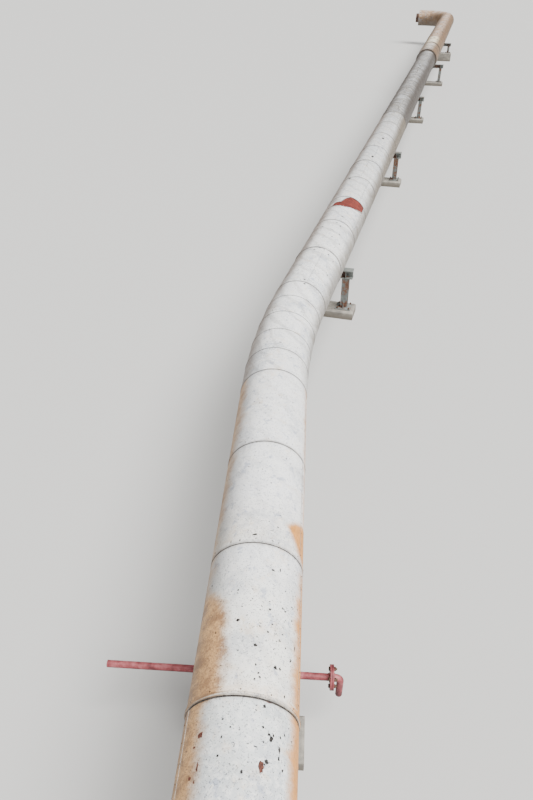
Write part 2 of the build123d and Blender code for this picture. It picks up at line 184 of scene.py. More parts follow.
def sheet_paint(
    name, run, reach, tones, left, right, left_flank_colours, right_flank_colours, crease, shade, soft, lap_from=-9.0
):
    """Weathered paint on rolled sheet. reach is the run's span in metres, which the stops are placed on;
    left and right give how far round, as the sideways lean of the surface, the flank colours stop, and soft
    the width of their edge; those colours are run-off stain on the near run and painted shade on the
    others.
    crease is the depth of the dents and how dark the painted shade in the creases is, shade how dark the
    painted shade on the flanks and underside is, and lap_from where along the run the dirty laps start."""
    start, heading = run
    low, high = reach
    ahead = (-math.sin(heading), math.cos(heading), 0)
    mat, shader, place = new_material(name, 0.5)
    from_start = node(mat, "VectorMath", {0: place, 1: start}, operation="SUBTRACT")
    distance = node(mat, "VectorMath", {0: from_start, 1: ahead}, operation="DOT_PRODUCT")
    travel = node(mat, "MapRange", {"Value": distance, 1: low, 2: high})
    tone, left_edge, right_edge = [
        node(mat, "ValToRGB", {"Fac": travel}, [((s - low) / (high - low), value) for s, value in stops])
        for stops in (tones, left, right)
    ]
    lean = node(mat, "SeparateXYZ", {0: node(mat, "NewGeometry").outputs["Normal"]})
    # Patches of chalk of about 300 mm, brush mottle of 30 mm, scuffs of 90 mm where the coat is thin, and
    # soot specks of 3 mm, drawn at 9 mm to show.
    cloud = node(mat, "TexNoise", {"Vector": place, "Scale": 1 / 0.3, "Detail": 7.0, "Roughness": 0.62})
    mottle = node(mat, "TexNoise", {"Vector": place, "Scale": 1 / 0.03, "Detail": 6.0, "Roughness": 0.7})
    scuff = node(mat, "TexNoise", {"Vector": place, "Scale": 1 / 0.09, "Detail": 9.0, "Roughness": 0.72})
    soot = node(mat, "TexNoise", {"Vector": place, "Scale": 1 / 0.009, "Detail": 2.0, "Roughness": 0.6})
    # Run-off stain and painted shade on the flanks: drips 110 mm wide and four times as long, whose edge
    # wanders by some 60 mm, with 13 mm grain in them.
    hanging = node(mat, "Mapping", {"Vector": place, "Scale": (1.0, 1.0, 0.25)})
    ragged = node(mat, "TexNoise", {"Vector": hanging, "Scale": 1 / 0.11, "Detail": 9.0, "Roughness": 0.68})
    grain = node(mat, "TexNoise", {"Vector": place, "Scale": 1 / 0.013, "Detail": 5.0, "Roughness": 0.8})
    wander = node(mat, "Math", {0: ragged, 1: 0.55, 2: -0.275}, operation="MULTIPLY_ADD")
    leftward = node(mat, "Math", {0: wander, 1: lean.outputs["X"]}, operation="SUBTRACT")
    in_left = node(mat, "Math", {0: leftward, 1: left_edge}, operation="SUBTRACT")
    rightward = node(mat, "Math", {0: wander, 1: 0.5, 2: lean.outputs["X"]}, operation="MULTIPLY_ADD")
    in_right = node(mat, "Math", {0: rightward, 1: right_edge}, operation="SUBTRACT")
    dripped = node(mat, "Math", {0: ragged, 1: 1.6, 2: grain}, operation="MULTIPLY_ADD")
    streaked = node(mat, "Math", {0: dripped, 1: 0.8}, operation="SUBTRACT")
    tan = node(mat, "ValToRGB", {"Fac": streaked}, [(0.32, left_flank_colours[0]), (0.66, left_flank_colours[1])])
    orange = node(mat, "ValToRGB", {"Fac": mottle}, [(0.42, right_flank_colours[0]), (0.6, right_flank_colours[1])])
    # Dull dust in 40 mm drips on the underside, which the rain never washes.
    drip = node(mat, "TexNoise", {"Vector": place, "Scale": 1 / 0.04, "Detail": 5.0})
    below = node(mat, "Math", {0: drip, 1: lean.outputs["Z"]}, operation="SUBTRACT")
    # Dark flecks of 3 mm, drawn at 8 mm to show, and thickest on the left flank, where the stain and the
    # painted shade lie.
    fleck = node(mat, "TexNoise", {"Vector": place, "Scale": 1 / 0.008, "Detail": 3.0, "Roughness": 0.6})
    on_left_flank = node(mat, "MapRange", {"Value": in_left, 1: -0.1, 2: 0.1, 4: 0.08})
    flecked = node(mat, "Math", {0: fleck, 1: on_left_flank}, operation="ADD")
    # Chips of 4 to 12 mm, in loose groups half a metre wide.
    chip = node(mat, "TexNoise", {"Vector": place, "Scale": 1 / 0.022, "Detail": 3.0, "Roughness": 0.62})
    group = node(mat, "TexNoise", {"Vector": place, "Scale": 1 / 0.5, "Detail": 2.0})
    chipped = node(mat, "Math", {0: group, 1: 0.25, 2: chip}, operation="MULTIPLY_ADD")
    # Creases 150 mm apart run aslant where the sheet was beaten to fit; their shade is painted in as dark
    # bands. Painted shade also darkens the flanks and the underside, most the left flank, which faces away
    # from the light.
    crease_shade_bands = node(mat, "TexWave", {"Vector": place, "Scale": 2.4, "Distortion": 7.0, "Detail": 3.0},
                   bands_direction="DIAGONAL")
    light_facing = node(
        mat, "Math", {0: lean.outputs["X"], 1: 0.7, 2: lean.outputs["Z"]}, operation="MULTIPLY_ADD"
    )
    flank_shade_mask = node(mat, "Math", {0: wander, 1: 0.8, 2: light_facing}, operation="MULTIPLY_ADD")
    # Dirt lies up to 30 mm from each lap, at every whole sheet from the end of the bend.
    to_lap = node(mat, "Math", {0: distance, 1: sheet_cover / 2}, operation="PINGPONG")
    by_lap = node(mat, "MapRange", {"Value": to_lap, 1: 0.03, 2: 0.0})
    lapped = node(mat, "MapRange", {"Value": distance, 1: lap_from, 2: lap_from + 0.01})
    dirty = node(mat, "Math", {0: by_lap, 1: lapped}, operation="MULTIPLY")
    dirt = node(mat, "Math", {0: dirty, 1: scuff}, operation="MULTIPLY")
    # Each layer lies over the one before: from where to where its pattern fades in, how far it covers, and
    # what colour it is.
    chip_edge = (0.804, 0.816)
    colour = tone
    for source, begins, full, strength, laid in (
        (cloud, 0.46, 0.64, 0.6, "B5B9BE"),
        (ragged, 0.54, 0.68, 0.5, "E6D2B8"),
        (mottle, 0.48, 0.62, 0.55, "F6F4EE"),
        (scuff, 0.57, 0.63, 0.6, "98A0B2"),
        (soot, 0.58, 0.66, 0.65, "5C5F68"),
        # Painted shade: dark bands in the aslant creases.
        (crease_shade_bands, 0.22, 0.02, min(crease * 30, 0.7), "5E564C"),
        # Painted shade on the flanks and the underside, darkest on the left.
        (flank_shade_mask, 0.85, -0.1, shade, "2C2620"),
        # Left flank: tan run-off stain on the near run, painted shade on the others.
        (in_left, -soft, soft * 1.5, 0.92, tan),
        # Painted shade, deeper round the left flank.
        (in_left, 0.35, 0.9, 0.6, "5E4936"),
        # Right flank: orange run-off stain with a painted warm reflection on the near run, painted shade on
        # the others.
        (in_right, -soft * 0.5, soft, 0.95, orange),
        (below, 0.75, 1.25, 0.8, "6A5D50"),
        (flecked, 0.65, 0.72, 0.85, "6B5238"),
        (dirt, 0.0, 0.8, 0.9, "4A4239"),
        (chipped, *chip_edge, 1.0, "1A1816"),
    ):
        amount = node(mat, "MapRange", {"Value": source, 1: begins, 2: full, 4: strength},
                      interpolation_type="SMOOTHSTEP")
        colour = node(mat, "Mix", {0: amount, 6: colour, 7: laid}, data_type="RGBA")
    # The coat is smoother where the brush left it thick.
    gloss = node(mat, "MapRange", {"Value": mottle, 1: 0.3, 2: 0.7, 3: 0.42, 4: 0.62})
    mat.node_tree.links.new(gloss.outputs[0], shader.inputs["Roughness"])
    # Shallow dents a hand wide, brush strokes 1 mm wide drawn at 4 mm, and the 0.6 mm step at each chip.
    dent = node(mat, "TexNoise", {"Vector": place, "Scale": 1 / 0.24, "Detail": 3.0})
    drawn_out = node(mat, "Mapping", {"Vector": place, "Scale": (1.0, 0.13, 1.0)})
    stroke = node(mat, "TexNoise", {"Vector": drawn_out, "Scale": 1 / 0.004, "Detail": 3.0})
    brushed = node(mat, "Math", {0: stroke, 1: 0.0006}, operation="MULTIPLY")
    dented = node(mat, "Math", {0: dent, 1: crease, 2: brushed}, operation="MULTIPLY_ADD")
    sunk = node(mat, "MapRange", {"Value": chipped, 1: chip_edge[0], 2: chip_edge[1], 4: -0.0006})
    relief = node(mat, "Math", {0: dented, 1: sunk}, operation="ADD")
    finish(mat, shader, colour, relief, 1.0)
    return mat


near_paint = sheet_paint(
    "chalked light grey paint on galvanised sheet, near run", near_run, reach=(-4.0, 0.05),
    tones=[
        # At the second lap, the raised one, the pale cream band is worn paint and partly a painted
        # highlight on its bead.
        (-4.0, "C6C9C8"), (-3.4, "CED1CF"), (-2.95, "D9DCDA"), (-2.935, "F2E4D2"), (-2.9, "E9DCCB"),
        (-2.85, "E9E6DE"), (-2.4, "EBEAE4"), (-2.0, "E8E8E8"), (-1.9, "E2DDD4"), (-1.5, "EAEAEA"),
        (0.0, "E6E5E3"),
    ],
    left=[
        (-4.0, 0.5), (-2.95, 0.54), (-2.94, 0.3), (-2.5, 0.36), (-2.36, 0.5), (-2.22, 0.86), (-0.9, 0.78),
        (0.0, 0.74),
    ],
    right=[(-4.0, 0.8), (-2.4, 0.82), (-1.96, 0.92), (-1.75, 0.58), (-1.6, 0.94), (0.0, 0.92)],
    # The orange of the right flank is partly a painted warm reflection, and shade paints shade on the left
    # flank.
    left_flank_colours=("D2A062", "8E6334"), right_flank_colours=("D2892A", "B87618"), crease=0.003, shade=0.55, soft=0.13,
)
dress(near_paint, "cladding_near", "end_cap_near")
long_paint = sheet_paint(
    "chalked light grey paint on galvanised sheet, bend and long run", long_run, reach=(-2.0, 9.5),
    tones=[
        (-2.0, "E4E3E1"), (0.0, "E4E4E2"), (1.5, "DDDCD9"), (2.9, "D0D1D1"), (3.1, "CDCDCB"),
        (6.0, "BEBEBC"), (7.8, "ACABA8"), (9.0, "7C7975"),
    ],
    left=[(-2.0, 0.75), (-0.8, 0.64), (0.0, 0.56), (0.9, 0.48), (2.0, 0.42), (4.0, 0.48), (9.0, 0.42)],
    right=[(-2.0, 0.93), (0.0, 0.86), (3.0, 0.84), (6.0, 0.72), (9.0, 0.62)],
    # Here both flank colours and shade are painted shade on the flanks.
    left_flank_colours=("A08F82", "64554A"), right_flank_colours=("6E6250", "463C30"), crease=0.007, shade=0.66, soft=0.25,
    lap_from=-0.02,
)
dress(long_paint, "cladding_bend", "cladding_long_first_half")

# Second half of the long run: the same sheet under older and greyer paint. It was beaten to fit by hand,
# and ridges up to 9 mm high run aslant over it, flat only at the laps, the seams and the shoe.
grey_paint = sheet_paint(
    "weathered grey paint on galvanised sheet", long_run, reach=(8.0, 19.0),
    tones=[
        (8.0, "8A8883"), (10.0, "66635F"), (11.5, "5B5752"), (13.5, "5F5C59"), (16.0, "686766"),
        (19.0, "5C5751"),
    ],
    left=[(8.0, 0.38), (19.0, 0.32)], right=[(8.0, 0.5), (12.0, 0.42), (19.0, 0.5)],
    # Here both flank colours and shade are painted shade on the flanks.
    left_flank_colours=("5C534C", "3E3731"), right_flank_colours=("453D36", "302A25"), crease=0.014, shade=0.7, soft=0.35,
)
dress(grey_paint, "cladding_long_second_half")
long_seams = (15.0, -35.0, 62.0, 38.0, 8.0)
first_beaten = 9
long_sheets = 19
lap_width = 0.04
flap_width = 0.04
flap_turn = math.degrees(flap_width / thin_radius)
flap_rise = 0.001
lap_rise = 0.0014
ridge_height = 0.009
# The sheets are cut out round the one shoe under them: where it stands, half its length and width with
# clearance, and how high the cut reaches.
shoe_at = 14.94
shoe_reach = 0.133
shoe_side = 0.088
shoe_cut_top = 0.93


def beaten(run, distance, angle):
    """How far the sheet stands off its rolled shape at a place on a run."""
    if run is not long_run or not first_beaten * sheet_cover <= distance < long_sheets * sheet_cover:
        return 0.0
    angle = (angle + 180) % 360 - 180
    into = distance % sheet_cover
    seam_at = long_seams[int(distance / sheet_cover) % len(long_seams)]
    from_seam = abs(angle - seam_at - flap_turn / 2) - flap_turn / 2
    # It calms over the last 150 mm before a lap, 18 degrees before a seam and 30 before the underside.
    calm = min(
        1.0, (into - lap_width) / 0.15, (sheet_cover - into) / 0.15, (from_seam - 1) / 18,
        (180 - abs(angle)) / 30 - 1,
    )
    if calm <= 0:
        return 0.0
    # Ridges about 160 mm apart, half a metre long, which come and go over three quarters of a metre.
    place = on_pipe(run, distance, angle, thin_radius)[0]
    aslant = Vector(((place.y + 0.9 * place.x) / 0.16, place.x / 0.5, place.z / 0.5))
    ridge = max(0.0, 1 - abs(noise.noise(aslant)) / 0.1)
    swell = 0.6 + 0.8 * noise.noise(place * 1.3)
    return ridge_height * calm * ridge * max(0.1, min(1.0, swell))


def piece(name, mesh, material, smooth=True):
    """Turns mesh code into a piece that rides with the pipeline."""
    data = bpy.data.meshes.new(name)
    for face in mesh.faces:
        face.smooth = smooth
    mesh.to_mesh(data)
    mesh.free()
    made = bpy.data.objects.new(name, data)
    bpy.context.scene.collection.objects.link(made)
    data.materials.append(material)
    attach(made, "root")
    return made


sheets = bmesh.new()
for i in range(first_beaten, long_sheets):
    seam_at = long_seams[i % len(long_seams)]
    past_flap = seam_at + flap_turn
    # Round the pipe from the seam: angle, and how far the flap stands up there.
    turns = [
        (seam_at - 0.3, 0.0), (seam_at, 0.0), (seam_at, flap_rise), (seam_at + 0.3, flap_rise),
        (past_flap - 0.3, flap_rise), (past_flap, flap_rise), (past_flap, 0.0), (past_flap + 0.3, 0.0),
    ] + [(past_flap + (360 - flap_turn) * k / 126, 0.0) for k in range(1, 126)]
    # The cut edge, the raised lap, its joggle and the body meet at sharp edges, so each is a strip of its
    # own, given as steps of (distance into the sheet, rise).
    for strip in (
        [(0.0, 0.0004), (0.0, lap_rise)],
        [(0.0, lap_rise), (0.034, lap_rise)],
        [(0.034, lap_rise), (lap_width, 0.0)],
        [(lap_width + 0.938 * k / 46, 0.0) for k in range(47)],
    ):
        rows = []
        for into, lift in strip:
            distance = i * sheet_cover + into
            row = []
            for angle, flap in turns:
                radius = thin_radius + lift + flap * (into > 0.05) + beaten(long_run, distance, angle)
                row.append(sheets.verts.new(on_pipe(long_run, distance, angle, radius)[0]))
            rows.append(row)
        for (into, lift), here, there in zip(strip, rows, rows[1:]):
            over_shoe = abs(i * sheet_cover + into - shoe_at) < shoe_reach
            for j, corner in enumerate(here):
                beside = (j + 1) % len(here)
                low_down = corner.co.z < shoe_cut_top and abs(corner.co.x - long_run[0].x) < shoe_side
                if not (over_shoe and low_down):
                    sheets.faces.new((here[beside], corner, there[j], there[beside]))
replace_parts(piece("beaten_sheets", sheets, grey_paint), "cladding_long_second_half")

# Far run: thicker wool under sheet painted beige. It is dark brown for some way past the step, then come
# two sheets that were painted again in cream, and old tan paint beyond.
beige_paint = sheet_paint(
    "chalked beige paint on galvanised sheet", long_run, reach=(18.0, 34.0),
    tones=[
        (18.0, "4E4037"), (18.75, "5E4D41"), (19.2, "A89A88"), (20.3, "B09E86"), (20.57, "7E654C"),
        (20.62, "E2CFA9"), (22.1, "E6D4AC"), (22.5, "9A6E40"), (27.0, "956735"), (34.0, "A17544"),
    ],
    left=[(18.0, 0.3), (20.5, 0.4), (34.0, 0.4)], right=[(18.0, 0.2), (20.5, 0.35), (34.0, 0.4)],
    # Here both flank colours and shade are painted shade on the flanks.
    left_flank_colours=("826649", "5A4531"), right_flank_colours=("7A5C3C", "4C3825"), crease=0.012, shade=0.6, soft=0.35,
)
dress(beige_paint, "cladding_far", "cladding_elbow", "cladding_stub", "end_cap_far", "step_cap")


# Joints of the sheets: each lap and each lengthwise seam was bedded in mastic. What squeezed out has gone
# black with soot, and shows as a thin dark line at every edge.
mastic, mastic_shader, mastic_place = new_material("weathered joint mastic", 0.7)
# It has greyed in spots of 17 mm.
mastic_noise = node(mastic, "TexNoise", {"Vector": mastic_place, "Scale": 60.0, "Detail": 5.0})
mastic_colour = node(
    mastic, "ValToRGB", {"Fac": mastic_noise}, [(0.35, "171412"), (0.55, "2C2723"), (0.72, "574E46")]
)
finish(mastic, mastic_shader, mastic_colour, mastic_noise, 0.0005)


def run_bead(mesh, spine, width, height, closed=False):
    """A low ridge along a line of (point, outward direction) pairs."""
    count = len(spine)
    rows = []
    for i, (point, out) in enumerate(spine):
        before = spine[i - 1][0] if closed or i > 0 else point
        after = spine[(i + 1) % count][0] if closed or i < count - 1 else point
        aside = out.cross(after - before).normalized() * width / 2
        sunk = out * 0.0003
        rows.append([mesh.verts.new(point - aside - sunk), mesh.verts.new(point + out * height),
                     mesh.verts.new(point + aside - sunk)])
    for i in range(count if closed else count - 1):
        here, there = rows[i], rows[(i + 1) % count]
        for k in (0, 1):
            mesh.faces.new((here[k], here[k + 1], there[k + 1], there[k]))


def girth(mesh, run, joint, joint_heading, radius, width, height):
    """A bead round the pipe on the near side of a joint plane."""
    start, heading = run
    normal = Vector((-math.sin(joint_heading), math.cos(joint_heading), 0))
    ahead = Vector((-math.sin(heading), math.cos(heading), 0))
    spine = []
    for i in range(120):
        point, out = on_pipe((joint, heading), 0.0, i * 3.0, radius)
        shift = (-width / 2 - (point - joint).dot(normal)) / ahead.dot(normal)
        spine.append((point + ahead * shift, out))
    run_bead(mesh, spine, width, height, closed=True)


def seam(mesh, run, near_edge, angle, radius, width, height, rng):
    """A bead along the free edge of one sheet's lengthwise overlap, from its lap almost to the next."""
    lap = 0.052
    turned = angle - math.degrees(width / 2 / radius)
    length = sheet_cover - lap - 0.002
    spine = [on_pipe(run, near_edge + lap + length * i / 24, turned, radius) for i in range(25)]
    run_bead(mesh, spine, width * rng.uniform(0.8, 1.1), height)


rng = random.Random(7)
near_seams = (-71.0, 74.0, 68.0, 76.0)
near_start = -len(near_seams) * sheet_cover
far_start = long_sheets * sheet_cover
far_sheets = 14
lines = bmesh.new()
# The near run's second lap is the raised one, with the thickest line.
for i, seam_at in enumerate(near_seams):
    near_edge = near_start + i * sheet_cover
    if i:
        wide = 0.011 if i == 1 else 0.008
        joint = on_pipe(near_run, near_edge, 0, 0)[0]
        girth(lines, near_run, joint, bend_turn, thin_radius, wide, wide / 5)
    seam(lines, near_run, near_edge, seam_at, thin_radius, 0.005, 0.0008, rng)
# Six joints bound the bend's five gores.
gores = 5
gore_step = bend_turn / gores
for i in range(gores + 1):
    turn = gore_step * i
    joint = bend_point(turn)
    behind = min(turn + gore_step / 2, bend_turn)
    girth(lines, (joint, behind), joint, turn, thin_radius, 0.008 if i in (0, gores) else 0.005, 0.001)
for i in range(long_sheets):
    near_edge = i * sheet_cover
    if i:
        girth(lines, long_run, on_pipe(long_run, near_edge, 0, 0)[0], 0.0, thin_radius, 0.01, 0.0013)
    seam(lines, long_run, near_edge, long_seams[i % len(long_seams)], thin_radius, 0.003, 0.0005, rng)
# The far run has no bead at the step cap, nor at its parted joint.
parted_joint = 2
for i in range(far_sheets):
    near_edge = far_start + i * sheet_cover
    if i not in (0, parted_joint):
        girth(lines, long_run, on_pipe(long_run, near_edge, 0, 0)[0], 0.0, thick_radius, 0.014, 0.0013)
    seam(lines, long_run, near_edge, long_seams[i % len(long_seams)], thick_radius, 0.005, 0.0007, rng)
piece("joint_mastic", lines, mastic)

# Fixings of the sheets: self-tapping pan-head screws, 8 mm across, a hand apart along each seam and lap.
# Zinc that has turned brown; those on the laps were painted over and have rusted through since.
screw_metal, screw_shader, screw_place = new_material("rusted zinc screw", 0.55, 0.6)
# One 8 mm spot of rust or zinc to a head.
screw_noise = node(screw_metal, "TexNoise", {"Vector": screw_place, "Scale": 120.0, "Detail": 4.0})
screw_colour = node(
    screw_metal, "ValToRGB", {"Fac": screw_noise}, [(0.35, "3A2A20"), (0.5, "5B3F2C"), (0.68, "8B8378")]
)
finish(screw_metal, screw_shader, screw_colour, screw_noise, 0.0003)


def turned_head(mesh, point, out, profile, sides, spin=0.0):
    """A round or six-sided head from (radius, height) steps, its axis along out."""
    across = out.orthogonal().normalized()
    over = out.cross(across)
    rings = []
    for radius, height in profile:
        ring = []
        for i in range(sides):
            a = spin + 2 * math.pi * i / sides
            spoke = across * math.cos(a) + over * math.sin(a)
            ring.append(mesh.verts.new(point + out * height + spoke * radius))
        rings.append(ring)
    for low, high in zip(rings, rings[1:]):
        for i in range(sides):
            k = (i + 1) % sides
            mesh.faces.new((low[i], low[k], high[k], high[i]))
    mesh.faces.new(rings[-1])


pan = [(0.004, -0.0008), (0.0042, 0.0006), (0.0034, 0.0019), (0.0018, 0.0025)]
screws = bmesh.new()
after_tear = 3
for run, first, count, seams, radius in (
    (near_run, near_start, len(near_seams), near_seams, thin_radius),
    (long_run, 0.0, long_sheets, long_seams, thin_radius),
    (long_run, far_start, far_sheets, long_seams, thick_radius),
):
    for i in range(count):
        near_edge = first + i * sheet_cover
        # Ten along the flap, 9 mm in from its edge.
        edge = seams[i % len(seams)] + math.degrees(0.009 / radius)
        for k in range(10):
            distance = near_edge + 0.08 + k * 0.092 + rng.uniform(-0.006, 0.006)
            turn = edge + rng.uniform(-0.5, 0.5)
            turned_head(screws, *on_pipe(run, distance, turn, radius + flap_rise), pan, 10)
        # Twelve round the lap, but none where the sheet before it has torn loose.
        at_tear = run is long_run and i == after_tear and radius == thin_radius
        for k in range(12):
            around = k * 30 + rng.uniform(-3, 3)
            if not (at_tear and (around < 75 or around > 325)):
                turned_head(screws, *on_pipe(run, near_edge + 0.03, around, radius + lap_rise), pan, 10)
piece("sheet_screws", screws, screw_metal)

# Bare places: paint and zinc gone over an area too large for the grain of the paint. The dark ones are
# oxidised sheet, and the red ones are primer that hangs on where the top coat has come away.
bare_sheet, bare_shader, bare_place = new_material("oxidised bare sheet", 0.75)
# Both are mottled in spots of about 10 mm.
bare_noise = node(bare_sheet, "TexNoise", {"Vector": bare_place, "Scale": 90.0, "Detail": 5.0})
bare_colour = node(
    bare_sheet, "ValToRGB", {"Fac": bare_noise}, [(0.35, "100F0E"), (0.55, "1F1C1A"), (0.72, "3B322C")]
)
finish(bare_sheet, bare_shader, bare_colour, bare_noise, 0.0004)
primer, primer_shader, primer_place = new_material("red oxide primer", 0.8)
primer_noise = node(primer, "TexNoise", {"Vector": primer_place, "Scale": 110.0, "Detail": 6.0})
primer_colour = node(
    primer, "ValToRGB", {"Fac": primer_noise}, [(0.35, "3B1E17"), (0.6, "5E3224"), (0.75, "74483A")]
)
finish(primer, primer_shader, primer_colour, primer_noise, 0.0004)


def patch(mesh, run, distance, angle, radius, length, width, rng):
    """A thin ragged patch that follows the sheet, length along the pipe and width round it. A small one is
    the more ragged."""
    over = radius + 0.0004
    centre = mesh.verts.new(on_pipe(run, distance, angle, over + beaten(run, distance, angle))[0])
    steps = 14
    rim = []
    for i in range(steps):
        a = 2 * math.pi * i / steps
        ragged = rng.uniform(0.6, 1.2) if length < 0.1 else rng.uniform(0.85, 1.1)
        far = distance + math.sin(a) * length / 2 * ragged
        turned = angle + math.degrees(math.cos(a) * width / 2 * ragged / radius)
        rim.append(mesh.verts.new(on_pipe(run, far, turned, over + beaten(run, far, turned))[0]))
    for i in range(steps):
        mesh.faces.new((centre, rim[i], rim[(i + 1) % steps]))


# Each is (distance along the run, angle from the top, length, width), the last two in millimetres. The
# chips of the near and the long run are drawn a quarter larger than that, to show.
millimetre = 0.001
chip_size = 1.25 * millimetre
near_chips = [
    (-2.661, 9.8, 14, 20), (-2.698, -7.2, 8, 8), (-2.757, 32.9, 20, 18), (-2.754, 38.5, 13, 13),
    (-2.770, 12.0, 10, 9), (-2.813, 15.3, 10, 11), (-2.833, 16.9, 11, 11), (-2.848, 12.0, 10, 10),
    (-2.976, 23.9, 13, 15), (-3.060, -14.4, 9, 9), (-3.099, -6.4, 8, 8), (-3.078, 24.1, 11, 11),
    (-3.145, -13.6, 14, 9), (-3.120, 32.9, 26, 18), (-3.104, 30.4, 11, 14), (-3.100, 35.2, 14, 10),
    (-3.156, 42.9, 24, 12), (-3.193, 42.7, 17, 10), (-3.230, 29.6, 20, 18), (-3.293, 7.5, 15, 11),
    (-3.229, -15.0, 10, 10), (-3.073, 48.7, 11, 8), (-3.096, 43.4, 11, 9), (-3.236, 47.8, 13, 9),
    (-2.887, 46.4, 17, 8), (-2.579, 60.3, 28, 9), (-1.897, -2.1, 13, 28), (-1.803, 25.5, 12, 12),
    (-2.149, 23.2, 11, 20), (-2.129, 32.3, 24, 9), (-2.314, -14.5, 11, 10), (-2.206, -55.9, 13, 9),
    (-2.423, 22.4, 13, 11), (-2.515, -11.0, 14, 20), (-2.512, 26.4, 9, 10), (-2.567, 22.1, 12, 11),
    (-2.569, -36.2, 10, 9), (-1.42, 12.0, 9, 8), (-1.12, 31.0, 14, 7), (-0.71, 4.0, 9, 12),
]
long_chips = [
    (1.710, -20.1, 24, 20), (1.871, 10.9, 16, 34), (1.808, 23.2, 28, 20), (1.595, 9.8, 16, 28),
    (1.560, 30.2, 28, 16), (1.393, 16.7, 20, 17), (1.322, 41.2, 26, 14), (1.020, 6.8, 22, 22),
    (0.907, -6.9, 22, 22), (0.798, 21.5, 18, 28), (0.879, 28.5, 24, 16), (0.815, 46.7, 28, 14),
    (0.443, 48.4, 24, 12), (0.054, 7.6, 24, 20), (-0.041, 11.9, 24, 22), (2.531, -37.4, 34, 24),
    (2.134, 16.0, 18, 44), (3.868, -22.5, 46, 38), (5.163, 11.5, 90, 34), (6.471, 13.9, 90, 38),
    (6.866, 27.9, 60, 110), (15.26, 6.1, 170, 54), (14.95, 1.0, 130, 42), (14.52, 7.0, 150, 40),
    (15.60, -4.0, 110, 36), (14.80, 14.0, 120, 30),
]
far_chips = [
    (26.01, 13.1, 240, 60), (25.32, 30.6, 220, 50), (24.38, 32.8, 300, 60), (23.70, 41.7, 180, 44),
    (21.62, -16.0, 190, 80), (21.80, 4.0, 230, 100), (21.58, 24.0, 160, 70), (24.1, 24.0, 110, 40),
]
dark = bmesh.new()
for chips, run, radius, size in (
    (near_chips, near_run, thin_radius, chip_size),
    (long_chips, long_run, thin_radius, chip_size),
    (far_chips, long_run, thick_radius, millimetre),
):
    for distance, angle, length, width in chips:
        patch(dark, run, distance, angle, radius, length * size, width * size, rng)
piece("bare_chips", dark, bare_sheet, smooth=False)
red = bmesh.new()
for distance, angle, length, width in (
    (-3.120, -36.4, 34, 44), (-3.267, -34.6, 46, 12), (-3.308, -41.8, 20, 22), (-3.257, 24.5, 56, 36),
    (-2.948, 27.1, 12, 44), (-3.17, -42.0, 14, 20), (-3.33, -36.0, 18, 12),
):
    patch(red, near_run, distance, angle, thin_radius, length * millimetre, width * millimetre, rng)
piece("primer_patches", red, primer, smooth=False)

# Torn edge of the third long sheet: the sheet was ripped open and its edge stands up a little all along
# the tear, so that it catches the light and shades the cloth below.
lip = bmesh.new()
tear_seam = after_tear * sheet_cover
# The tear is outlined by how far to the right of the pipe and how far past the end of the sheet it lies.
low_edge = [
    (-0.165, -0.3735), (-0.036, -0.423), (0.05, -0.45), (0.181, -0.369), (0.265, -0.207), (0.265, -0.01),
]
high_edge = [(0.0457, -0.0225), (0.0049, -0.09), (-0.036, -0.234), (-0.122, -0.2475), (-0.165, -0.3735)]
for outline in (low_edge, high_edge):
    fine = []
    for (x0, y0), (x1, y1) in zip(outline, outline[1:]):
        fine += [(x0 + (x1 - x0) * k / 8, y0 + (y1 - y0) * k / 8) for k in range(8)]
    fine.append(outline[-1])
    rows = []
    for i, (x, y) in enumerate(fine):
        before, after = fine[max(i - 1, 0)], fine[min(i + 1, len(fine) - 1)]
        away = Vector((before[1] - after[1], after[0] - before[0])).normalized()
        rise = rng.uniform(0.003, 0.009)
        row = []
        for out_by, lift in ((-0.012, 0.0006), (0.0, 0.0012), (0.003, rise * 0.6), (0.002, rise)):
            aside, beyond = x + away.x * out_by, y + away.y * out_by
            angle = math.degrees(math.asin(aside / thin_radius))
            row.append(lip.verts.new(on_pipe(long_run, tear_seam + beyond, angle, thin_radius + lift)[0]))
        rows.append(row)
    for here, there in zip(rows, rows[1:]):
        for k in range(3):
            lip.faces.new((here[k], here[k + 1], there[k + 1], there[k]))
tear_lip = piece("tear_lip", lip, long_paint)
thicken = tear_lip.modifiers.new("sheet", "SOLIDIFY")
thicken.thickness = 0.0008
thicken.offset = 1.0

# Parted joint of the far run: black butyl tape that sealed the lap stays behind on the wool, between the
# slanted end of one sheet and the square end of the next, drawn near black as painted shade of the open
# joint. It has dulled in spots of 30 mm.
tape, tape_shader, tape_place = new_material("old butyl tape and painted joint shade", 0.6)
tape_noise = node(tape, "TexNoise", {"Vector": tape_place, "Scale": 35.0, "Detail": 6.0})
tape_and_shade_colour = node(tape, "ValToRGB", {"Fac": tape_noise}, [(0.4, "121110"), (0.7, "2C2926")])
finish(tape, tape_shader, tape_and_shade_colour, tape_noise, 0.001)
tape_near = 20.5
tape_nearest = 20.3
tape_far = 20.579
tape_slant = math.radians(14)
tape_radius = 0.3491
strip = bmesh.new()
rows = []
for i in range(61):
    angle = -100 + i * 200 / 60
    near_side = tape_near - math.tan(tape_slant) * (thick_radius * (1 + math.sin(math.radians(angle))))
    rows.append([
        strip.verts.new(on_pipe(long_run, distance, angle, tape_radius)[0])
        for distance in (max(near_side, tape_nearest), tape_far)
    ])
for here, there in zip(rows, rows[1:]):
    strip.faces.new((here[0], here[1], there[1], there[0]))
piece("joint_tape_and_shade", strip, tape)

# Trestles and shoes: rolled sections, welded, under one coat of grey machinery paint.
# Rust comes through at the edges and runs down from the welds.
trestle_paint, trestle_shader, trestle_place = new_material("grey machinery paint", 0.55)
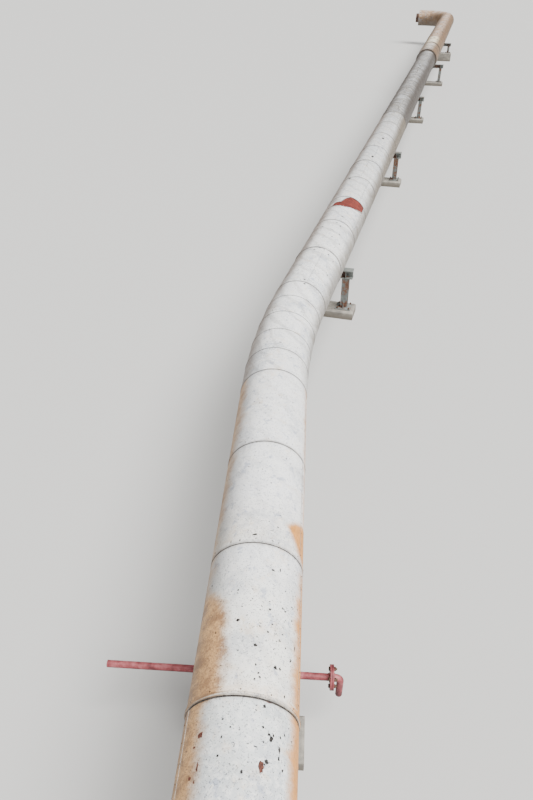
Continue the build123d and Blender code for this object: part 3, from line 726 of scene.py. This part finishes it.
# Rust spreads in clouds of 120 mm, and the coat has 5 mm grit.
trestle_cloud = node(
    trestle_paint, "TexNoise", {"Vector": trestle_place, "Scale": 8.0, "Detail": 9.0, "Roughness": 0.68}
)
trestle_edge = node(trestle_paint, "NewGeometry")
trestle_worn = node(
    trestle_paint, "Math", {0: trestle_edge.outputs["Pointiness"], 1: 0.8, 2: trestle_cloud},
    operation="MULTIPLY_ADD",
)
trestle_level = node(trestle_paint, "Math", {0: trestle_worn, 1: 0.4}, operation="SUBTRACT")
trestle_colour = node(
    trestle_paint, "ValToRGB", {"Fac": trestle_level},
    [(0.34, "4A3024"), (0.41, "6C4A35"), (0.45, "5F625F"), (0.62, "767A76"), (0.72, "6B4630")],
)
trestle_grit = node(trestle_paint, "TexNoise", {"Vector": trestle_place, "Scale": 190.0, "Detail": 3.0})
finish(trestle_paint, trestle_shader, trestle_colour, trestle_grit, 0.0006)
dress(trestle_paint, *[name for name in cad_nodes if name.startswith(("trestle", "pipe_shoe"))])

# Holding-down bolts: four studs cast into the footing at each base plate, with washer and nut.
# Fillet welds join each leg to its base plate and to the cross beam.
hex_steel, hex_shader, hex_place = new_material("rusted bolt steel", 0.6, 0.4)
# Rust in spots of 14 mm, with bare steel between.
hex_noise = node(hex_steel, "TexNoise", {"Vector": hex_place, "Scale": 70.0, "Detail": 6.0})
hex_colour = node(
    hex_steel, "ValToRGB", {"Fac": hex_noise}, [(0.35, "33261E"), (0.55, "5A3E2B"), (0.7, "7A7268")]
)
finish(hex_steel, hex_shader, hex_colour, hex_noise, 0.0005)
bolts = bmesh.new()
welds = bmesh.new()
up = Vector((0, 0, 1))
washer = [(0.015, -0.0005), (0.015, 0.003), (0.0148, 0.003)]
nut = [(0.0139, 0.003), (0.0139, 0.0145), (0.0125, 0.016)]
stud = [(0.008, 0.016), (0.008, 0.026), (0.007, 0.0275)]
# A leg is an H section: half its depth and width, the inside of its flanges, and half its web.
half = 0.05
flange = 0.04
web = 0.003
leg_outline = [
    (-half, -half), (half, -half), (half, -flange), (web, -flange), (web, flange), (half, flange),
    (half, half), (-half, half), (-half, flange), (-web, flange), (-web, -flange), (-half, -flange),
]
supports = 6
support_spacing = 6.4
first_support = -2.47
bend_length = bend_radius * bend_turn
footing_height = 0.12
pier_height = 0.33
base_plate = 0.015
bolt_from_centre = 0.085
beam_underside = 0.6
for i in range(supports):
    past_bend = i * support_spacing + first_support
    run, distance = (near_run, past_bend) if past_bend < 0 else (long_run, past_bend - bend_length)
    # The far run's legs stand wider, and the last pair stands on the tall block.
    spread = 0.84 if run is long_run and distance > far_start else 0.4
    plate_top = (pier_height if i == supports - 1 else footing_height) + base_plate
    centre = on_pipe(run, distance, 0, 0)[0]
    ahead = Vector((-math.sin(run[1]), math.cos(run[1]), 0))
    right = Vector((math.cos(run[1]), math.sin(run[1]), 0))
    for side in (-1, 1):
        foot = centre + right * side * spread / 2
        for x in (-bolt_from_centre, bolt_from_centre):
            for y in (-bolt_from_centre, bolt_from_centre):
                at = foot + right * x + ahead * y
                at.z = plate_top
                turned_head(bolts, at, up, washer, 20)
                turned_head(bolts, at, up, nut, 6, spin=rng.uniform(0, 1))
                turned_head(bolts, at, up, stud, 12)
        for level, facing in ((plate_top, up), (beam_underside, -up)):
            loop = []
            for (x0, y0), (x1, y1) in zip(leg_outline, leg_outline[1:] + leg_outline[:1]):
                for k in range(4):
                    at = foot + right * (x0 + (x1 - x0) * k / 4) + ahead * (y0 + (y1 - y0) * k / 4)
                    at.z = level
                    loop.append((at, facing))
            run_bead(welds, loop, 0.011, 0.0045, closed=True)
piece("holding_down_bolts", bolts, hex_steel, smooth=False)
piece("trestle_welds", welds, trestle_paint)

# Footings: concrete cast in board shutters on site, floated on top.
# Pale cement skin with dark pores, board marks on the sides, and damp rising from the ground.
concrete, concrete_shader, concrete_place = new_material("board-cast concrete", 0.92)
# Stains of 170 mm, pores of 9 mm cells that leave holes of 1 to 3 mm, and boards about 120 mm wide.
concrete_cloud = node(
    concrete, "TexNoise", {"Vector": concrete_place, "Scale": 6.0, "Detail": 10.0, "Roughness": 0.72}
)
concrete_pores = node(
    concrete, "TexVoronoi", {"Vector": concrete_place, "Scale": 110.0}, distance="EUCLIDEAN"
)
concrete_pits = node(concrete, "MapRange", {"Value": concrete_pores, 1: 0.06, 2: 0.16})
concrete_high = node(concrete, "SeparateXYZ", {0: concrete_place})
concrete_damp = node(concrete, "MapRange", {"Value": concrete_high.outputs["Z"], 1: 0.02, 2: 0.1})
concrete_tone = node(
    concrete, "ValToRGB", {"Fac": concrete_cloud}, [(0.36, "69655F"), (0.5, "837E75"), (0.64, "9A958A")]
)
concrete_wet = node(concrete, "Mix", {0: concrete_damp, 6: "6D665C", 7: concrete_tone}, data_type="RGBA")
concrete_colour = node(concrete, "Mix", {0: concrete_pits, 6: "57524B", 7: concrete_wet}, data_type="RGBA")
concrete_board = node(
    concrete, "TexWave", {"Vector": concrete_place, "Scale": 2.6, "Distortion": 0.6, "Detail": 3.0},
    bands_direction="Z",
)
concrete_rough = node(
    concrete, "Math", {0: concrete_pits, 1: 0.5, 2: concrete_cloud}, operation="MULTIPLY_ADD"
)
concrete_height = node(
    concrete, "Math", {0: concrete_board, 1: 0.25, 2: concrete_rough}, operation="MULTIPLY_ADD"
)
finish(concrete, concrete_shader, concrete_colour, concrete_height, 0.003)
dress(concrete, *[name for name in cad_nodes if name.startswith("footing")])

# Drain: drip leg, 48 mm line and outlet in steel tube, brushed with red paint that has faded to pink.
# The paint is clouded over 60 mm, and rust shows where it has flaked in spots of 12 mm.
red_paint, red_shader, red_place = new_material("faded red paint", 0.6)
red_cloud = node(
    red_paint, "TexNoise", {"Vector": red_place, "Scale": 16.0, "Detail": 7.0, "Roughness": 0.65}
)
red_flake = node(
    red_paint, "TexNoise", {"Vector": red_place, "Scale": 85.0, "Detail": 4.0, "Roughness": 0.7}
)
red_colour = node(
    red_paint, "ValToRGB", {"Fac": red_cloud}, [(0.36, "5A2327"), (0.5, "863C40"), (0.64, "9E5A5C")]
)
red_bare = node(red_paint, "MapRange", {"Value": red_flake, 1: 0.62, 2: 0.66})
red_top = node(red_paint, "Mix", {0: red_bare, 6: red_colour, 7: "5A3327"}, data_type="RGBA")
finish(red_paint, red_shader, red_top, red_flake, 0.0006)
dress(red_paint, "drain_pocket", "drain_line", "drain_flange", "drain_outlet")

# Flanged joint of the drain: four bolts through both flanges, and fillet welds at the flanges, the
# nozzle and the tee.
drain_at = -2.24
drain_level = 0.5
tube_radius = 0.02415
nozzle_radius = 0.0172
nozzle_top = 0.64
near_face_at = 0.513
far_face_at = 0.539
bolt_circle_radius = 0.055
drain_foot = on_pipe(near_run, drain_at, 0, 0)[0]
drain_ahead = Vector((-math.sin(bend_turn), math.cos(bend_turn), 0))
drain_right = Vector((math.cos(bend_turn), math.sin(bend_turn), 0))
drain_axis = Vector((drain_foot.x, drain_foot.y, drain_level))
joint_bolts = bmesh.new()
head = [(0.0139, 0.0), (0.0139, 0.009), (0.0128, 0.010)]
joint_nut = [(0.0139, 0.0), (0.0139, 0.0125), (0.0128, 0.0135)]
joint_stud = [(0.008, 0.0135), (0.008, 0.021), (0.007, 0.022)]
shank = [(0.008, 0.0), (0.008, 0.026)]
for k in range(4):
    a = math.radians(45 + 90 * k)
    spot = drain_axis + (drain_ahead * math.cos(a) + up * math.sin(a)) * bolt_circle_radius
    near_face = spot + drain_right * near_face_at
    far_face = spot + drain_right * far_face_at
    turned_head(joint_bolts, near_face, -drain_right, head, 6, spin=0.3 * k)
    turned_head(joint_bolts, near_face, drain_right, shank, 12)
    turned_head(joint_bolts, far_face, drain_right, joint_nut, 6, spin=0.2 * k)
    turned_head(joint_bolts, far_face, drain_right, joint_stud, 12)
piece("joint_bolts", joint_bolts, hex_steel, smooth=False)
joint_welds = bmesh.new()
circle = [2 * math.pi * k / 36 for k in range(36)]
for weld_at in (near_face_at - 0.002, far_face_at + 0.002):
    ring = []
    for a in circle:
        out = drain_ahead * math.cos(a) + up * math.sin(a)
        ring.append((drain_axis + drain_right * weld_at + out * 0.0245, out))
    run_bead(joint_welds, ring, 0.009, 0.0035, closed=True)
ring = []
for a in circle:
    out = drain_right * math.cos(a) + drain_ahead * math.sin(a)
    ring.append((Vector((drain_foot.x, drain_foot.y, nozzle_top - 0.002)) + out * nozzle_radius, out))
run_bead(joint_welds, ring, 0.008, 0.0035, closed=True)
# The tee's weld rides up and down over the tube.
tee_radius = 0.0175
ring = []
for a in circle:
    along, across = tee_radius * math.cos(a), tee_radius * math.sin(a)
    level = math.sqrt(tube_radius ** 2 - across ** 2)
    out = (drain_right * math.cos(a) + drain_ahead * math.sin(a) + up).normalized()
    ring.append((drain_axis + drain_right * along + drain_ahead * across + up * level, out))
run_bead(joint_welds, ring, 0.008, 0.003, closed=True)
piece("drain_welds", joint_welds, red_paint)

# Gasket of the flanged joint: compressed fibre sheet, near black, with a dry cut edge.
fibre, fibre_shader, fibre_place = new_material("compressed fibre sheet", 0.88)
# Fibre clumps of 2 mm.
fibre_grain = node(fibre, "TexNoise", {"Vector": fibre_place, "Scale": 500.0, "Detail": 4.0})
fibre_colour = node(fibre, "ValToRGB", {"Fac": fibre_grain}, [(0.3, "1A1918"), (0.7, "363430")])
finish(fibre, fibre_shader, fibre_colour, fibre_grain, 0.0003)
dress(fibre, "drain_gasket")

# Floor: a plain pale studio floor under the footings.
floor_mesh = bmesh.new()
bmesh.ops.create_grid(floor_mesh, x_segments=1, y_segments=1, size=90)
floor_data = bpy.data.meshes.new("floor")
floor_mesh.to_mesh(floor_data)
floor_mesh.free()
floor = bpy.data.objects.new("floor", floor_data)
bpy.context.scene.collection.objects.link(floor)
floor_paint, floor_shader = new_material("pale floor", 0.9)[:2]
floor_shader.inputs["Base Color"].default_value = linear("B6B5B2")
floor_data.materials.append(floor_paint)

# Light: an even studio sky, and one broad soft light from high on the right.
sky = bpy.data.worlds.new("sky")
bpy.context.scene.world = sky
sky.use_nodes = True
sky.node_tree.nodes["Background"].inputs["Color"].default_value = linear("ECEDEE")
sky.node_tree.nodes["Background"].inputs["Strength"].default_value = 0.55
sun_data = bpy.data.lights.new("soft_sun", "SUN")
sun_data.energy = 9.0
sun_data.angle = math.radians(45)
sun = bpy.data.objects.new("soft_sun", sun_data)
sun.rotation_euler = (math.radians(12), math.radians(28), 0)
bpy.context.scene.collection.objects.link(sun)

# Camera: from above and behind the near run, looking along it.
camera_data = bpy.data.cameras.new("camera")
camera_data.lens = 28.14
camera_data.sensor_width = 36.0
camera_data.clip_end = 200.0
camera = bpy.data.objects.new("camera", camera_data)
camera.location = (1.5524, -20.2312, 4.5167)
looks_down, turned_left = 36.2915, 15.9455
camera.rotation_euler = (math.radians(90 - looks_down), 0.0, math.radians(turned_left))
bpy.context.scene.collection.objects.link(camera)
bpy.context.scene.camera = camera
